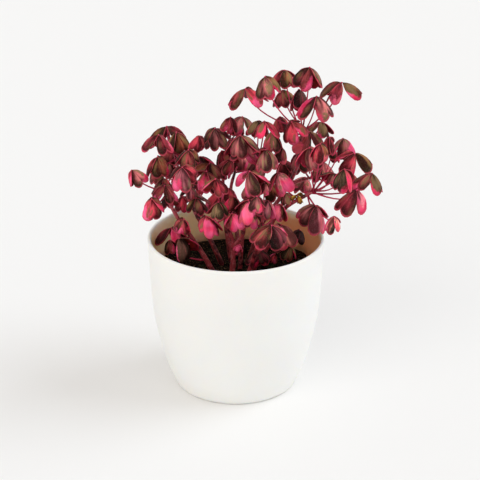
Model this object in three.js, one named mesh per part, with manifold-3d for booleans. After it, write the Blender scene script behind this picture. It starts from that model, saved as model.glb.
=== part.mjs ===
// A volcanic sorrel in a round white pot: nine rooted stems with drooping, heart-cut leaflets in threes.
// Millimetres, Z up. The origin is the middle of the pot's foot, and the photograph looks along +Y.
import * as THREE from 'three';
import { mergeVertices } from 'three/addons/utils/BufferGeometryUtils.js';
import Module from 'manifold-3d';

const wasm = await Module();
wasm.setup();

// Driving sizes of the pot
const POT_HEIGHT = 121;
const RIM_RADIUS = 67.5;
const FOOT_RADIUS = 45;
const FOOT_BEVEL = 2;
const FOOT_BEVEL_HEIGHT = 0.8;
const WALL = 2.5;
const FLOOR = 4;
const FIT_GAP = 0.3;
// The pot's swelling outside wall, foot to rim, as radius and height
const WALL_POINTS = [
  [48, 3], [50.6, 9], [54.2, 18], [59.1, 36], [63.8, 60], [66.1, 93], [RIM_RADIUS, POT_HEIGHT - WALL / 2],
];
const WALL_STEPS = 5;
const POT_SIDES = 32;
const RIM_STEPS = 4;

// Driving sizes of the soil
const SOIL_TOP = 91;
const SOIL_LUMP = 1;
// Radians to the millimetre of the waves that make the soil's lumps
const BROAD_WAVES = [0.13, 0.19];
const NARROW_WAVES = [0.31, 0.27];
const NARROW_SHIFTS = [1.7, 0.6];
const BROAD_SHARE = 0.6;
const SOIL_RINGS = 3;
const SOIL_SIDES = 22;
// Heights between floor and soil level where the inside of the wall changes its slope
const BEND_HEIGHTS = [FLOOR + 4, 36];
const FLOOR_ROUNDING = 3;
const ROOT_DEPTH = 20;
const ROOT_LAP = 2;
const HOLE_SIDES = 8;
const HOLE_ABOVE = 8;

// Driving sizes of the stems and petioles
const STEM_SIDES = 5;
const STEM_STEP = 18;
const PETIOLE_STEPS = 2;
const PETIOLE_RADIUS = 0.75;
const BEND_LEAST = 13;
const BEND_SHARE = 0.45;
const LEAN = 0.4;
// A petiole may start at these parts of a stem, and best this far below its leaf
const START_CHOICES = 14;
const FIRST_CHOICE = 3;
const CHOICE_SHIFT = 0.3;
const RISE = 10;
const RISE_WEIGHT = 0.8;

// A leaflet's half outline from its base to its notch, as parts of its length: along the rib, and out from it
const HALF_OUTLINE = [[0.34, 0.37], [0.7, 0.51], [0.98, 0.29]];
const NOTCH = 0.89;
const BLADE = 0.7;
const FOLD_LEVEL = 57;
const FOLD_PER_DROOP = 0.75;
const CURL = 0.28;
const LEAFLETS = 3;
// How far a leaflet may stray in heading, droop and twist, in degrees, and its least and widest size
const WANDER = 14;
const SAG = 15;
const TWIST = 32;
const SMALLEST = 0.88;
const SIZE_SPREAD = 0.2;
const FIRST_SEED = 31;
const SEED_STEP = 577;
const HUB_RADIUS = 0.95;
const HUB_DEPTH = 0.9;

// The stems. A route's points are [x, y, z], the first of a stem on the soil, the first of a branch on its stem.
// A leaf is [x, y, z of the point where its leaflets meet, heading of the first leaflet in degrees
// (0 right, 90 to the back), leaflet length, droop below the level in degrees].
const STEMS = [
  {
    name: 'stem_left_low',
    radii: [2.3, 1.2],
    routes: [[[-17, -4, 91], [-25, -7, 108], [-36, -9, 127], [-42, -9, 136], [-50, -6, 150], [-54, -6, 160]]],
    leaves: [
      [-78, -8, 178, 75, 14, 44],
      [-53, -14, 168, 200, 14, 24],
      [-62, -33, 165, 45, 18, 46],
      [-53, 4, 153, 260, 13, 36],
      [-47, -2, 129, 60, 13, 41],
      [-52, 12, 112, 260, 11, 46],
      [-39, -16, 142, 275, 13, 46],
      [-54, 8, 165, 185, 13, 22],
      [-50, 14, 122, 60, 16, 4],
      [-43, -18, 127, 75, 18, 64],
    ],
  },
  {
    name: 'stem_left_tall',
    radii: [2.2, 1.1],
    routes: [[[-11, 13, 91], [-22, 16, 115], [-31, 20, 131], [-37, 22, 145], [-44, 20, 168], [-47, 16, 184]]],
    leaves: [
      [-53, 36, 197, 90, 21, 6],
      [-57, -14, 208, 60, 18, 26],
      [-45, 17, 199, 80, 18, 36],
      [-59, 4, 184, 45, 18, 44],
      [-35, -16, 197, 30, 17, 38],
      [-27, 0, 202, 240, 13, 36],
      [-49, 36, 182, 265, 18, 46],
      [-51, 24, 171, 280, 12, 46],
      [-39, -36, 191, 15, 18, 44],
      [-30, -2, 153, 190, 13, 22],
      [-34, 8, 158, 290, 12, 36],
    ],
  },
  {
    name: 'stem_middle_back',
    radii: [2.0, 1.1],
    routes: [
      [[-4, 20, 91], [-8, 24, 120], [-10, 26, 150], [-8, 26, 178], [-4, 26, 192]],
      [[-10, 26, 150], [-15, 16, 160], [-20, 8, 168]],
    ],
    leaves: [
      [-16, 14, 203, 30, 16, 38],
      [-4, 14, 212, 268, 14, 36],
      [-11, 28, 180, 275, 16, 44],
      [-28, 34, 173, 265, 16, 41],
      [-20, 12, 176, 305, 18, 24],
      [5, 38, 204, 5, 18, 17],
      [-4, 10, 179, 290, 14, 41],
      [-22, -8, 177, 235, 17, 41],
      [-19, 40, 193, 185, 15, 44],
      [2, 50, 197, 280, 13, 40],
    ],
  },
  {
    name: 'stem_middle_front',
    radii: [2.6, 1.2],
    routes: [
      [[-3, -8, 91], [-2, -11, 117], [-6, -16, 135], [-10, -21, 150]],
      [[-2, -11, 117], [5, -18, 129], [6, -24, 146], [7, -22, 156]],
    ],
    leaves: [
      [-15, -31, 180, 45, 14, 36],
      [-13, -34, 163, 0, 14, 36],
      [-22, -30, 150, 290, 16, 46],
      [-3, -34, 154, 280, 13, 46],
      [-1, -6, 156, 255, 14, 41],
      [-5, 6, 158, 270, 12, 46],
      [9, -40, 167, 240, 17, 41],
      [3, -14, 120, 250, 7, 46],
    ],
  },
  {
    name: 'stem_middle_tall',
    radii: [2.0, 1.1],
    routes: [[[3, 5, 91], [6, 5, 130], [11, -2, 160], [16, -6, 182]]],
    leaves: [
      [3, -14, 208, 0, 20, 41],
      [7, 6, 195, 310, 17, 29],
      [22, -18, 198, 0, 17, 33],
      [10, -31, 186, 30, 18, 29],
      [11, -16, 170, 250, 12, 46],
      [27, 8, 203, 290, 16, 46],
      [21, -6, 216, 105, 16, 24],
      [35, 10, 189, 280, 13, 46],
      [17, 26, 205, 250, 15, 46],
    ],
  },
  {
    name: 'stem_right_tall',
    radii: [2.2, 1.2],
    routes: [[[9, 13, 91], [20, 16, 124], [36, 16, 149], [47, 13, 174], [50, 10, 204]]],
    leaves: [
      [7, 10, 236, 80, 19, 14],
      [21, -8, 251, 273, 17, 42],
      [36, 20, 247, 60, 15, 34],
      [54, 2, 255, 105, 18, 47],
      [78, 6, 242, 240, 20, 10],
      [59, -8, 236, 330, 19, 32],
      [35, 33, 227, 240, 14, 42],
      [47, 14, 234, 45, 16, 46],
      [33, 24, 209, 262, 13, 38],
      [41, -5, 215, 225, 16, 36],
      [65, 31, 202, 300, 15, 34],
      [55, 18, 199, 30, 19, 30],
      [42, 2, 112, 270, 12, 36],
      [30, 6, 103, 260, 7, 46],
      [49, 2, 125, 270, 11, 46],
    ],
  },
  {
    name: 'stem_right_low',
    radii: [2.6, 1.3],
    routes: [[[12, -1, 91], [25, 0, 115], [27, 0, 131], [37, -1, 144], [59, -3, 159]]],
    leaves: [
      [54, -16, 199, 260, 19, 41],
      [61, -35, 209, 0, 14, 44],
      [69, -10, 205, 235, 14, 41],
      [81, 20, 193, 285, 17, 40],
      [88, -10, 192, 12, 19, 24],
      [102, -4, 174, 105, 18, 20],
      [79, -37, 190, 105, 19, 46],
      [90, -16, 165, 240, 22, 28],
      [74, 6, 170, 250, 11, 22],
      [60, -12, 151, 75, 20, 34],
      [46, -8, 158, 190, 7, 14],
      [37, -4, 158, 265, 10, 46],
      [74, 34, 180, 280, 12, 36],
      [31, -10, 177, 285, 17, 44],
      [16, -6, 112, 225, 14, 27],
      [73, -24, 147, 90, 13, 42],
    ],
  },
  {
    name: 'stem_front',
    radii: [2.0, 1.1],
    routes: [
      [[8, -16, 91], [14, -22, 115], [19, -28, 138], [20, -32, 154]],
      [[14, -22, 115], [24, -18, 122], [30, -14, 126]],
    ],
    leaves: [
      [15, -55, 176, 15, 12, 46],
      [21, -23, 174, 330, 11, 36],
      [24, -22, 159, 262, 14, 46],
      [33, -13, 153, 262, 14, 46],
      [26, -52, 152, 90, 21, 38],
      [34, -18, 138, 60, 19, 50],
      [13, -24, 151, 262, 14, 46],
    ],
  },
  {
    name: 'stem_back',
    radii: [2.2, 1.2],
    routes: [
      [[2, 30, 91], [0, 40, 115], [-4, 48, 140], [0, 50, 156]],
      [[0, 40, 115], [-22, 50, 128], [-38, 50, 140]],
      [[0, 40, 115], [25, 50, 130], [48, 48, 146], [62, 44, 152]],
    ],
    leaves: [
      [-61, 48, 163, 100, 17, 29],
      [-44, 62, 149, 80, 18, 36],
      [-23, 66, 144, 95, 17, 36],
      [2, 66, 165, 60, 18, 36],
      [-11, 52, 137, 110, 17, 36],
      [20, 50, 167, 70, 18, 36],
      [49, 42, 173, 80, 18, 29],
      [67, 50, 163, 95, 17, 36],
      [88, 36, 159, 60, 17, 36],
      [22, 56, 145, 75, 18, 36],
      [38, 60, 160, 95, 17, 36],
      [-42, 46, 135, 120, 14, 36],
      [55, 62, 145, 100, 16, 29],
    ],
  },
];

// Seeded draw between 0 and 1, the same run after run
function seededDraw(seed) {
  let state = seed;
  return () => {
    state = (state * 1103 + 12345) % 65536;
    return state / 65536;
  };
}

// Solids
function solidFrom(geometry) {
  const bare = new THREE.BufferGeometry();
  bare.setAttribute('position', geometry.getAttribute('position'));
  if (geometry.index) bare.setIndex(geometry.index);
  const merged = mergeVertices(bare, 1e-4);
  return new wasm.Manifold(new wasm.Mesh({
    numProp: 3,
    vertProperties: new Float32Array(merged.getAttribute('position').array),
    triVerts: new Uint32Array(merged.index.array),
  }));
}

function geometryFrom(solid) {
  const mesh = solid.getMesh();
  const geometry = new THREE.BufferGeometry();
  geometry.setAttribute('position', new THREE.BufferAttribute(new Float32Array(mesh.vertProperties), 3));
  geometry.setIndex(new THREE.BufferAttribute(new Uint32Array(mesh.triVerts), 1));
  geometry.computeVertexNormals();
  return geometry;
}

function geometryOf(points, faces) {
  const geometry = new THREE.BufferGeometry();
  geometry.setAttribute('position', new THREE.Float32BufferAttribute(points.flatMap((p) => [p.x, p.y, p.z]), 3));
  geometry.setIndex(faces.flat());
  return geometry;
}

function join(solids) {
  return solids.reduce((whole, solid) => whole.add(solid));
}

// Tube of a changing radius along a curve, closed at both ends
function tube(curve, steps, sides, startRadius, endRadius) {
  const points = [];
  const faces = [];
  const frames = curve.computeFrenetFrames(steps, false);
  for (let i = 0; i <= steps; i += 1) {
    const centre = curve.getPointAt(i / steps);
    const radius = THREE.MathUtils.lerp(startRadius, endRadius, i / steps);
    for (let k = 0; k < sides; k += 1) {
      const turn = (2 * Math.PI * k) / sides;
      points.push(centre.clone()
        .addScaledVector(frames.normals[i], radius * Math.cos(turn))
        .addScaledVector(frames.binormals[i], radius * Math.sin(turn)));
    }
  }
  for (let i = 0; i < steps; i += 1) {
    for (let k = 0; k < sides; k += 1) {
      const a = i * sides + k;
      const b = i * sides + ((k + 1) % sides);
      faces.push([a, b, b + sides], [a, b + sides, a + sides]);
    }
  }
  const last = steps * sides;
  for (let k = 1; k < sides - 1; k += 1) {
    faces.push([0, k + 1, k], [last, last + k, last + k + 1]);
  }
  return solidFrom(geometryOf(points, faces));
}

// Pot and soil
function innerRadius(height) {
  const curve = new THREE.SplineCurve(WALL_POINTS.map(([r, z]) => new THREE.Vector2(r, z)));
  const line = curve.getPoints(WALL_STEPS * 4);
  const above = line.findIndex((p) => p.y >= height);
  const [low, high] = [line[above - 1], line[above]];
  return THREE.MathUtils.mapLinear(height, low.y, high.y, low.x, high.x) - WALL;
}

function lathe(profile, sides) {
  const geometry = new THREE.LatheGeometry(profile.map(([r, z]) => new THREE.Vector2(r, z)), sides);
  geometry.rotateX(Math.PI / 2);
  return geometry;
}

function makePot() {
  const wall = new THREE.SplineCurve(WALL_POINTS.map(([r, z]) => new THREE.Vector2(r, z))).getPoints(WALL_STEPS);
  const profile = [[0, 0], [FOOT_RADIUS, 0], [FOOT_RADIUS + FOOT_BEVEL, FOOT_BEVEL_HEIGHT], ...wall.map((p) => [p.x, p.y])];
  for (let i = 1; i <= RIM_STEPS; i += 1) {
    const turn = (Math.PI * i) / RIM_STEPS;
    profile.push([
      RIM_RADIUS - WALL / 2 + (WALL / 2) * Math.cos(turn),
      POT_HEIGHT - WALL / 2 + (WALL / 2) * Math.sin(turn),
    ]);
  }
  for (const height of [SOIL_TOP, ...[...BEND_HEIGHTS].reverse()]) {
    profile.push([innerRadius(height), height]);
  }
  profile.push([innerRadius(BEND_HEIGHTS[0]) - FLOOR_ROUNDING, FLOOR], [0, FLOOR]);
  return lathe(profile, POT_SIDES);
}

// The soil fills the flat-sided inside of the pot with the fit gap all round
function soilRadius(height) {
  return innerRadius(height) * Math.cos(Math.PI / POT_SIDES) - FIT_GAP;
}

function soilHeight(x, y) {
  const narrow = Math.sin(x * NARROW_WAVES[0] + NARROW_SHIFTS[0]) * Math.cos(y * NARROW_WAVES[1] - NARROW_SHIFTS[1]);
  const broad = Math.sin(x * BROAD_WAVES[0] - y * BROAD_WAVES[1]);
  return SOIL_TOP + SOIL_LUMP * (narrow + BROAD_SHARE * broad);
}

function makeSoil(stemHoles) {
  const points = [];
  const faces = [];
  const levels = [[FLOOR + FIT_GAP, soilRadius(BEND_HEIGHTS[0]) - FLOOR_ROUNDING]];
  for (const height of BEND_HEIGHTS) {
    levels.push([height, soilRadius(height)]);
  }
  const edge = soilRadius(SOIL_TOP - SOIL_LUMP);
  const ring = (radius, heightAt) => {
    for (let k = 0; k < SOIL_SIDES; k += 1) {
      const turn = (2 * Math.PI * k) / SOIL_SIDES;
      const [x, y] = [radius * Math.cos(turn), radius * Math.sin(turn)];
      points.push(new THREE.Vector3(x, y, heightAt(x, y)));
    }
  };
  levels.forEach(([height, radius]) => ring(radius, () => height));
  for (let i = 0; i < SOIL_RINGS; i += 1) {
    ring(edge * (1 - i / SOIL_RINGS), soilHeight);
  }
  const rings = levels.length + SOIL_RINGS;
  for (let i = 0; i < rings - 1; i += 1) {
    for (let k = 0; k < SOIL_SIDES; k += 1) {
      const a = i * SOIL_SIDES + k;
      const b = i * SOIL_SIDES + ((k + 1) % SOIL_SIDES);
      faces.push([a, b, b + SOIL_SIDES], [a, b + SOIL_SIDES, a + SOIL_SIDES]);
    }
  }
  const bottom = points.push(new THREE.Vector3(0, 0, FLOOR + FIT_GAP)) - 1;
  const top = points.push(new THREE.Vector3(0, 0, soilHeight(0, 0))) - 1;
  const last = (rings - 1) * SOIL_SIDES;
  for (let k = 0; k < SOIL_SIDES; k += 1) {
    const next = (k + 1) % SOIL_SIDES;
    faces.push([bottom, next, k], [top, last + k, last + next]);
  }
  return geometryFrom(stemHoles.reduce((soil, hole) => soil.subtract(hole), solidFrom(geometryOf(points, faces))));
}

function holeFor(stem) {
  const [x, y] = stem.routes[0][0];
  const radius = (stem.radii[0] + 2 * FIT_GAP) / Math.cos(Math.PI / HOLE_SIDES);
  const depth = ROOT_DEPTH + FIT_GAP;
  const height = depth + HOLE_ABOVE;
  const hole = new THREE.CylinderGeometry(radius, radius, height, HOLE_SIDES);
  hole.rotateX(Math.PI / 2);
  hole.translate(x, y, SOIL_TOP - depth + height / 2);
  return solidFrom(hole);
}

// Leaves
// A petiole leaves its stem at the nearest point that lies somewhat below the leaf
function startOnStem(curves, hub, order) {
  let best = null;
  let least = Infinity;
  for (const curve of curves) {
    for (let i = FIRST_CHOICE; i <= START_CHOICES; i += 1) {
      const point = curve.getPointAt((i - CHOICE_SHIFT * (order % 3)) / START_CHOICES);
      const cost = point.distanceTo(hub) + RISE_WEIGHT * Math.max(0, point.z - hub.z + RISE);
      if (cost < least) {
        least = cost;
        best = point;
      }
    }
  }
  return best;
}

// The leaf leans the way its petiole comes, so that the leaflets hang round the petiole
function leafAxis(start, hub) {
  return hub.clone().sub(start).normalize().multiplyScalar(LEAN).add(new THREE.Vector3(0, 0, 1)).normalize();
}

function leafletFrames(leaf, axis, draw) {
  const [, , , heading, length, droop] = leaf;
  const frames = [];
  for (let i = 0; i < LEAFLETS; i += 1) {
    const turn = THREE.MathUtils.degToRad(heading + (360 / LEAFLETS) * i + WANDER * (2 * draw() - 1));
    const hang = THREE.MathUtils.degToRad(droop + SAG * (2 * draw() - 1));
    const twist = THREE.MathUtils.degToRad(TWIST * (2 * draw() - 1));
    const level = new THREE.Vector3(Math.cos(turn), Math.sin(turn), 0);
    level.addScaledVector(axis, -level.dot(axis)).normalize();
    const out = level.clone().multiplyScalar(Math.cos(hang)).addScaledVector(axis, -Math.sin(hang));
    const side = new THREE.Vector3().crossVectors(axis, level).applyAxisAngle(out, twist);
    frames.push({
      level,
      out,
      side,
      up: new THREE.Vector3().crossVectors(out, side),
      size: length * (SMALLEST + SIZE_SPREAD * draw()),
      fold: THREE.MathUtils.degToRad(FOLD_LEVEL - FOLD_PER_DROOP * droop),
    });
  }
  return frames;
}

function onLeaflet(hub, frame, along, across, lift) {
  const { out, side, up, size, fold } = frame;
  return hub.clone()
    .addScaledVector(out, along * size)
    .addScaledVector(side, across * size * Math.cos(fold))
    .addScaledVector(up, -Math.abs(across) * size * Math.sin(fold) - CURL * size * along * along + lift);
}

// One closed surface: three leaflets on a small three-cornered hub, which goes on below as the petiole
function leafSolid(leaf, curves, order, draw) {
  const hub = new THREE.Vector3(leaf[0], leaf[1], leaf[2]);
  const start = startOnStem(curves, hub, order);
  const axis = leafAxis(start, hub);
  const frames = leafletFrames(leaf, axis, draw);
  const points = [];
  const faces = [];
  const add = (point) => points.push(point) - 1;

  // Corners of the hub, between neighbouring leaflets: upper and lower
  const corners = frames.map((frame, i) => {
    const before = frames[(i + LEAFLETS - 1) % LEAFLETS];
    return frame.level.clone().add(before.level).normalize();
  });
  const upper = corners.map((corner) => add(hub.clone().addScaledVector(corner, HUB_RADIUS)));
  const lower = corners.map((corner) => add(hub.clone().addScaledVector(corner, HUB_RADIUS)
    .addScaledVector(axis, -HUB_DEPTH)));
  faces.push([upper[0], upper[1], upper[2]]);

  frames.forEach((frame, i) => {
    const right = (i + 1) % LEAFLETS;
    const outline = (sign, lift) => HALF_OUTLINE.map(([u, v]) => add(onLeaflet(hub, frame, u, sign * v, lift)));
    const top = {
      near: [upper[right], ...outline(1, 0)],
      far: [upper[i], ...outline(-1, 0)],
      notch: add(onLeaflet(hub, frame, NOTCH, 0, 0)),
    };
    const under = {
      near: [lower[right], ...outline(1, -BLADE)],
      far: [lower[i], ...outline(-1, -BLADE)],
      notch: add(onLeaflet(hub, frame, NOTCH, 0, -BLADE)),
    };
    faces.push([top.far[0], top.notch, top.near[0]], [under.far[0], under.near[0], under.notch]);
    for (let k = 0; k < HALF_OUTLINE.length; k += 1) {
      faces.push([top.near[k], top.notch, top.near[k + 1]], [top.far[k], top.far[k + 1], top.notch]);
      faces.push([under.near[k], under.near[k + 1], under.notch], [under.far[k], under.notch, under.far[k + 1]]);
    }
    const rimTop = [...top.far, top.notch, ...[...top.near].reverse()];
    const rimUnder = [...under.far, under.notch, ...[...under.near].reverse()];
    for (let k = 0; k < rimTop.length - 1; k += 1) {
      faces.push([rimUnder[k], rimUnder[k + 1], rimTop[k + 1]], [rimUnder[k], rimTop[k + 1], rimTop[k]]);
    }
  });

  // Petiole, from the hub back to the stem
  const reach = start.distanceTo(hub);
  const bend = hub.clone().addScaledVector(axis, -Math.max(BEND_LEAST, reach * BEND_SHARE));
  const curve = new THREE.QuadraticBezierCurve3(hub, bend, start);
  let ring = lower;
  let across = corners[0].clone();
  for (let i = 1; i <= PETIOLE_STEPS; i += 1) {
    const centre = curve.getPoint(i / PETIOLE_STEPS);
    const along = curve.getTangent(i / PETIOLE_STEPS).negate();
    across = across.clone().addScaledVector(along, -across.dot(along)).normalize();
    const other = new THREE.Vector3().crossVectors(along, across);
    const next = corners.map((corner, k) => {
      const turn = (2 * Math.PI * k) / corners.length;
      return add(centre.clone()
        .addScaledVector(across, PETIOLE_RADIUS * Math.cos(turn))
        .addScaledVector(other, PETIOLE_RADIUS * Math.sin(turn)));
    });
    for (let k = 0; k < LEAFLETS; k += 1) {
      const b = (k + 1) % LEAFLETS;
      faces.push([next[k], next[b], ring[b]], [next[k], ring[b], ring[k]]);
    }
    ring = next;
  }
  faces.push([ring[0], ring[2], ring[1]]);
  return solidFrom(geometryOf(points, faces));
}

function stemCurves(stem) {
  return stem.routes.map((route) => new THREE.CatmullRomCurve3(route.map((p) => new THREE.Vector3(...p))));
}

function stemSolids(stem, curves) {
  const [thick, thin] = stem.radii;
  const [x, y, z] = stem.routes[0][0];
  // The root part laps into the stem above the soil
  const root = new THREE.CylinderGeometry(thick, thick, ROOT_DEPTH + ROOT_LAP, STEM_SIDES);
  root.rotateX(Math.PI / 2);
  root.translate(x, y, z + (ROOT_LAP - ROOT_DEPTH) / 2);
  const solids = [solidFrom(root)];
  curves.forEach((curve, i) => {
    const steps = Math.ceil(curve.getLength() / STEM_STEP);
    const start = i === 0 ? thick : THREE.MathUtils.lerp(thick, thin, 0.5);
    solids.push(tube(curve, steps, STEM_SIDES, start, thin));
  });
  return solids;
}

function makeStem(stem, index) {
  const draw = seededDraw(index * SEED_STEP + FIRST_SEED);
  const curves = stemCurves(stem);
  const solids = stemSolids(stem, curves);
  stem.leaves.forEach((leaf, order) => solids.push(leafSolid(leaf, curves, order, draw)));
  return geometryFrom(join(solids));
}

// Materials
const white = new THREE.MeshStandardMaterial({ color: 0xefede8, roughness: 0.5, metalness: 0 });
const earth = new THREE.MeshStandardMaterial({ color: 0x1c1512, roughness: 0.98, metalness: 0 });
const burgundy = new THREE.MeshStandardMaterial({ color: 0x7a2c34, roughness: 0.6, metalness: 0 });

const sorrel = new THREE.Group();

function addPart(name, geometry, material) {
  const mesh = new THREE.Mesh(geometry, material);
  mesh.name = name;
  sorrel.add(mesh);
}

addPart('pot', makePot(), white);
addPart('soil', makeSoil(STEMS.map(holeFor)), earth);
STEMS.forEach((stem, index) => addPart(stem.name, makeStem(stem, index), burgundy));

export default sorrel;
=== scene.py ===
"""A volcanic sorrel in a round white pot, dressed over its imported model.

Lists and sizes here are in millimetres unless they say otherwise, and meshes end in metres. Z is up, and the
photograph looks along +Y.
"""

from bisect import bisect_right
from math import cos, exp, pi, radians, sin, sqrt

import bmesh
import bpy
from mathutils import Matrix, Vector, noise


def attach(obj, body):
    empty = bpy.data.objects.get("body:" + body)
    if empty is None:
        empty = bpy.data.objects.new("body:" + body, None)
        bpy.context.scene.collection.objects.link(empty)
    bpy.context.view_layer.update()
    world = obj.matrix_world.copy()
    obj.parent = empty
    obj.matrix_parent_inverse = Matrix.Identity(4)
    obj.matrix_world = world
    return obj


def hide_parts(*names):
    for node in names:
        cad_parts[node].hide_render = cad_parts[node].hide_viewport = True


MM = 0.001

# Camera: a picture of 480 by 480 pixels, with the middle of the pot's rim on the axis before the shift
PICTURE = 480
FOCAL_PIXELS = 1704.4
VIEW_DISTANCE = 1300
VIEW_ELEVATION = 23.45
RIM_PIXEL = (236.0, 235.45)
SENSOR = 36
VIEW_LIMIT = 30000

# Floor, far wider than the view
FLOOR_HALF_WIDTH = 6000

# Pot, as in the part's source
POT_HEIGHT = 121
RIM_RADIUS = 67.5
FOOT_RADIUS = 45
WALL = 2.5
FLOOR = 4
WALL_POINTS = [
    (48, 3), (50.6, 9), (54.2, 18), (59.1, 36), (63.8, 60), (66.1, 93), (RIM_RADIUS, POT_HEIGHT - WALL / 2),
]
FIT_GAP = 0.3

# Pot, finer than in the source: the flat of its foot, the foot's rounded edge as (out, up), and the inside
POT_SIDES = 128
FOOT_FLAT = 33
FOOT_EDGE = [(0, 0), (1.2, 0.25), (2.1, 0.9)]
WALL_STEPS = 44
WALL_SAMPLES = 60
RIM_STEPS = 12
INSIDE_STEP = 6
INSIDE_ROUND = 4
INSIDE_FLAT = 3
INSIDE_TOP = 2
RIM_BAND = 1.5
TURNED_IN = 0.1

# Soil: lumps are (noise to the millimetre, place in the noise, height)
SOIL_TOP = 91
SOIL_SIDES = 112
SOIL_RINGS = 34
SOIL_LEVELS = (10, 20, 36, 55, 75)
SOIL_LUMPS = [(0.045, 3.1, 1.2), (0.16, 7.7, 1.1), (0.45, 1.3, 0.7)]

# Crumbs and the larger clods: sizes and squeezes are drawn from (least, spread), turns are in radians, and
# dents are (noise to the millimetre, depth as a part of the size)
SOIL_MARGIN = 3
CRUMBS = 420
CRUMB_SIZE = (0.45, 0.6)
CLODS = 46
CLOD_SIZE = (1.2, 1.3)
CRUMB_SQUEEZES = [(0.75, 0.3), (0.6, 0.3)]
CRUMB_TURN = 6
CRUMB_LIFT = 0.25
CRUMB_DENTS = (0.9, 0.35)

# Stems: slimmer between the old leaf joints, and round at the tip. JOINT_FADE is in square millimetres
STEM_SIDES = 12
STEM_STEP = 2.5
LEAST_STEPS = 5
ROUTE_SAMPLES = 200
ROOT_DEPTH = 20
ROOT_SHARE = 0.95
JOINT_SPACING = 17
JOINT_FADE = 2.4
SLIM_SHARE = 0.92
JOINT_SWELLING = 0.1
TIP_SHARES = (0.85, 0.45)
YOUNG_FROM = 0.9

# Petioles: where they start, how they bend, how they taper, and the small joint under the leaf
START_CHOICES = 14
FIRST_CHOICE = 3
CHOICE_SHIFT = 0.3
SHIFTS = 3
RISE = 10
RISE_WEIGHT = 0.8
LEAN = 0.4
BEND_LEAST = 13
BEND_SHARE = 0.45
PETIOLE_SIDES = 6
PETIOLE_STEPS = 9
PETIOLE_RADIUS = 0.72
PETIOLE_TAPER = 0.2
TAPER_END = 0.4
JOINT_RADII = (0.62, 0.6)
JOINT_DEPTHS = (1.4, 0.25)

# Leaflets: the edge from the notch round one lobe to the end of its straight side, as parts of the length,
# the rows of faces from base to edge, and the thickness of a blade
EDGE = [
    (0.88, 0.0), (0.935, 0.05), (0.966, 0.13), (0.975, 0.22), (0.944, 0.325), (0.86, 0.415), (0.73, 0.475),
    (0.53, 0.445), (0.33, 0.352),
]
BLADE_ROWS = 5
LEAFLETS = 3
BLADE = 0.5

# How far a leaflet strays in heading, droop and twist, in degrees, and its least size and the spread above
WANDER = 14
SAG = 15
TWIST = 32
SMALLEST = 0.88
SIZE_SPREAD = 0.2

# How a blade bends: its fold in degrees, the rest as parts of its length, and how close its waves lie
FOLD_LEVEL = 57
FOLD_PER_DROOP = 0.75
CURL = 0.28
ARCH = 0.35
BELLY = 0.07
BASE_HALF_WIDTH = 0.02
BASE_LENGTH = 0.03
RIDGE = 0.03
WAVE_DEPTH = 0.022
WAVES = 7.0

# What a leaflet and a petiole draw for themselves, as (least, spread): light, share of the blush, share of
# the patches, lean of the pattern to one side, and wave of the edge
LEAF_LIGHT = (0.5, 0.9)
BLUSH_DRAW = (0.6, 0.6)
PATCH_DRAW = (0.5, 1.0)
LEAN_DRAW = (-0.5, 2.0)
WAVE_DRAW = (-1.0, 2.0)
PETIOLE_LIGHT = (0.8, 0.4)

# Seeds of the draws: of a stem's leaflets as in the part's source, of their looks, and of the crumbs
FIRST_SEED = 31
SEED_STEP = 577
FIRST_LOOK = 7
LOOK_STEP = 131
CRUMB_SEED = 911

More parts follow.
